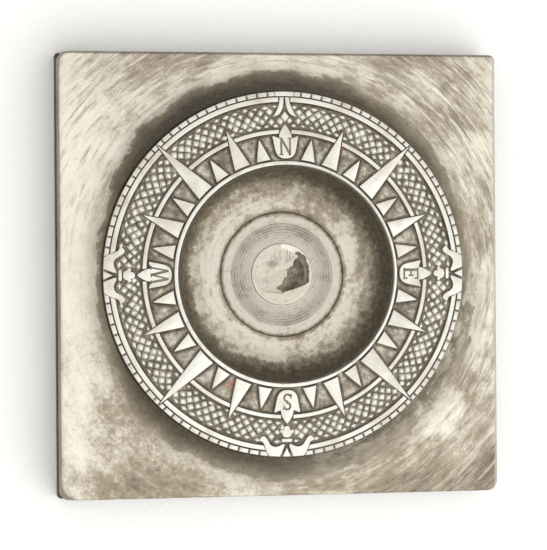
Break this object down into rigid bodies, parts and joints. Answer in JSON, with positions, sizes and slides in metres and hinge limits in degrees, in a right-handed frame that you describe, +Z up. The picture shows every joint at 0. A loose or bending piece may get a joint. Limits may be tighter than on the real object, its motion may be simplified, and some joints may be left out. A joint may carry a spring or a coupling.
{
  "type": "garden sundial plate",
  "caption": "Square metal garden sundial plate with a raised compass ring, a dished turned centre and the broken root of its gnomon.",
  "frame": {"origin": "centre of the underside of the square base plate", "axes": "+Z up out of the dial's face, +Y toward the N of the compass ring, +X toward the E"},
  "size_m": [0.2, 0.2, 0.0344],
  "materials": {
    "base_metal": "dark, oxidised, sharp-edged backing plate",
    "dial_metal": "worn pale metal with turning marks, grey-brown mottling and a dark patina in the cove",
    "ring_metal": "rubbed bright on the raised tops, dark grey-brown patina in the recesses",
    "dish_metal": "satin floor with mottled edge and dark patina up the bowl's fillet",
    "disc_metal": "satin, with fine turned grooves",
    "root_metal": "bright rim round a rough broken hollow",
    "fixing_steel": "plain machined steel",
    "ring_screw_steel": "dark oxidised steel",
    "ring_washer_steel": "plain steel",
    "plate_screw_steel": "dark oxidised steel",
    "dowel_steel": "ground steel"
  },
  "bodies": {
    "root": {"base_plate": "base_metal", "dial_plate": "dial_metal", "compass_ring": "ring_metal", "dish_insert": "dish_metal", "centre_disc": "disc_metal", "gnomon_root": "root_metal", "root_washer": "fixing_steel", "root_nut": "fixing_steel", "ring_screw_ne": "ring_screw_steel", "ring_screw_se": "ring_screw_steel", "ring_screw_sw": "ring_screw_steel", "ring_screw_nw": "ring_screw_steel", "ring_washer_ne": "ring_washer_steel", "ring_washer_se": "ring_washer_steel", "ring_washer_sw": "ring_washer_steel", "ring_washer_nw": "ring_washer_steel", "plate_screw_ne": "plate_screw_steel", "plate_screw_se": "plate_screw_steel", "plate_screw_sw": "plate_screw_steel", "plate_screw_nw": "plate_screw_steel", "locating_dowel_e": "dowel_steel", "locating_dowel_w": "dowel_steel"}
  },
  "joints": []
}
